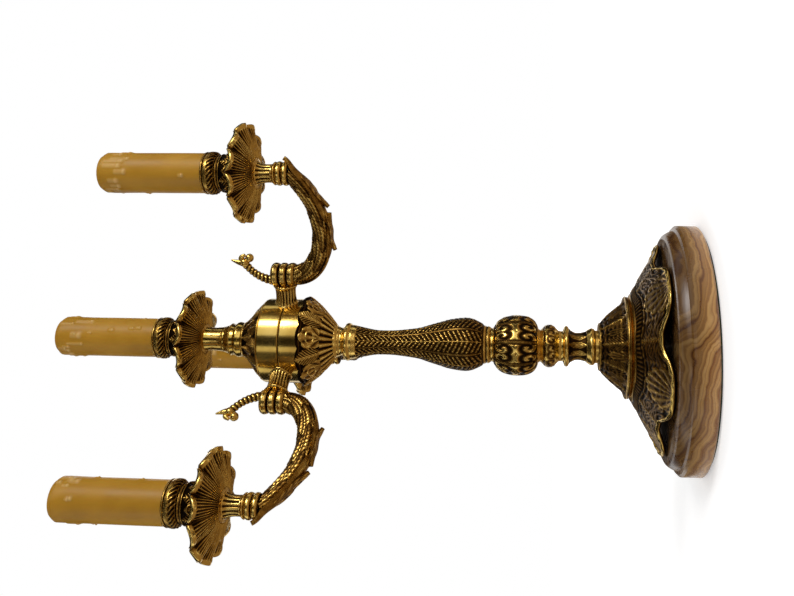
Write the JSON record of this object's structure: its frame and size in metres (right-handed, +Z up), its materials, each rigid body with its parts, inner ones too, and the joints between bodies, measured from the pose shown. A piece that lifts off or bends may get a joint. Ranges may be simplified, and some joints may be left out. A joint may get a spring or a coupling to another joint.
{
  "type": "candelabra lamp",
  "caption": "Tabletop candelabra lamp in cast antique brass: turned stem, scroll arms round a hub, petalled drip pans and candle sleeves, on a banded stone plinth.",
  "frame": {"origin": "centre of the underside of the felt, where the lamp meets the table", "axes": "+Z up the stem, +Y from the stem to the rear arm and to the cord inlet, +X to the right"},
  "size_m": [0.2746, 0.2468, 0.4438],
  "materials": {
    "felt": "felt",
    "onyx": "polished banded stone",
    "zinc_steel": "zinc plated",
    "bush_plastic": "moulded",
    "connector_plastic": "moulded",
    "lead_insulation": "extruded",
    "holder_plastic": "moulded",
    "candle_resin": "waxy",
    "polished_brass": "polished",
    "antique_brass": "antiqued with dark recesses"
  },
  "bodies": {
    "lamp": {"felt_pad": "felt", "marble_base": "onyx", "base_washer": "zinc_steel", "base_nut": "zinc_steel", "cord_bush": "bush_plastic", "centre_rod": "zinc_steel", "foot_skirt": "antique_brass", "foot_bell": "antique_brass", "lower_collar": "antique_brass", "stem_bead": "antique_brass", "stem_ball": "antique_brass", "baluster": "antique_brass", "top_collar": "antique_brass", "hub_cup": "antique_brass", "hub_band_lower": "polished_brass", "hub_band_upper": "polished_brass", "hub_cap": "antique_brass", "hub_nut": "zinc_steel", "terminal_block": "connector_plastic", "top_neck": "polished_brass", "arm_nuts": "zinc_steel", "arm_1": "antique_brass", "arm_2": "antique_brass", "arm_3": "antique_brass", "arm_boss_1": "antique_brass", "arm_boss_2": "antique_brass", "arm_boss_3": "antique_brass", "arm_stub_1": "zinc_steel", "arm_stub_2": "zinc_steel", "arm_stub_3": "zinc_steel", "arm_spool_1": "antique_brass", "arm_spool_2": "antique_brass", "arm_spool_3": "antique_brass", "arm_nipple_1": "zinc_steel", "arm_nipple_2": "zinc_steel", "arm_nipple_3": "zinc_steel", "arm_lead_1": "lead_insulation", "arm_lead_2": "lead_insulation", "arm_lead_3": "lead_insulation", "drip_pan_0": "antique_brass", "drip_pan_1": "antique_brass", "drip_pan_2": "antique_brass", "drip_pan_3": "antique_brass", "candle_cup_0": "antique_brass", "candle_cup_1": "antique_brass", "candle_cup_2": "antique_brass", "candle_cup_3": "antique_brass", "socket_stem_0": "zinc_steel", "socket_stem_1": "zinc_steel", "socket_stem_2": "zinc_steel", "socket_stem_3": "zinc_steel", "lampholder_0": "holder_plastic", "lampholder_1": "holder_plastic", "lampholder_2": "holder_plastic", "lampholder_3": "holder_plastic"},
    "sleeve_centre": {"candle_sleeve_0": "candle_resin"},
    "sleeve_back": {"candle_sleeve_1": "candle_resin"},
    "sleeve_left": {"candle_sleeve_2": "candle_resin"},
    "sleeve_right": {"candle_sleeve_3": "candle_resin"}
  },
  "joints": [
    {"name": "sleeve_centre_lift", "type": "slide", "parent": "lamp", "child": "sleeve_centre", "axis": [0, 0, 1], "range_m": [0, 0.075]},
    {"name": "sleeve_back_lift", "type": "slide", "parent": "lamp", "child": "sleeve_back", "axis": [0, 0, 1], "range_m": [0, 0.075]},
    {"name": "sleeve_left_lift", "type": "slide", "parent": "lamp", "child": "sleeve_left", "axis": [0, 0, 1], "range_m": [0, 0.075]},
    {"name": "sleeve_right_lift", "type": "slide", "parent": "lamp", "child": "sleeve_right", "axis": [0, 0, 1], "range_m": [0, 0.075]}
  ]
}
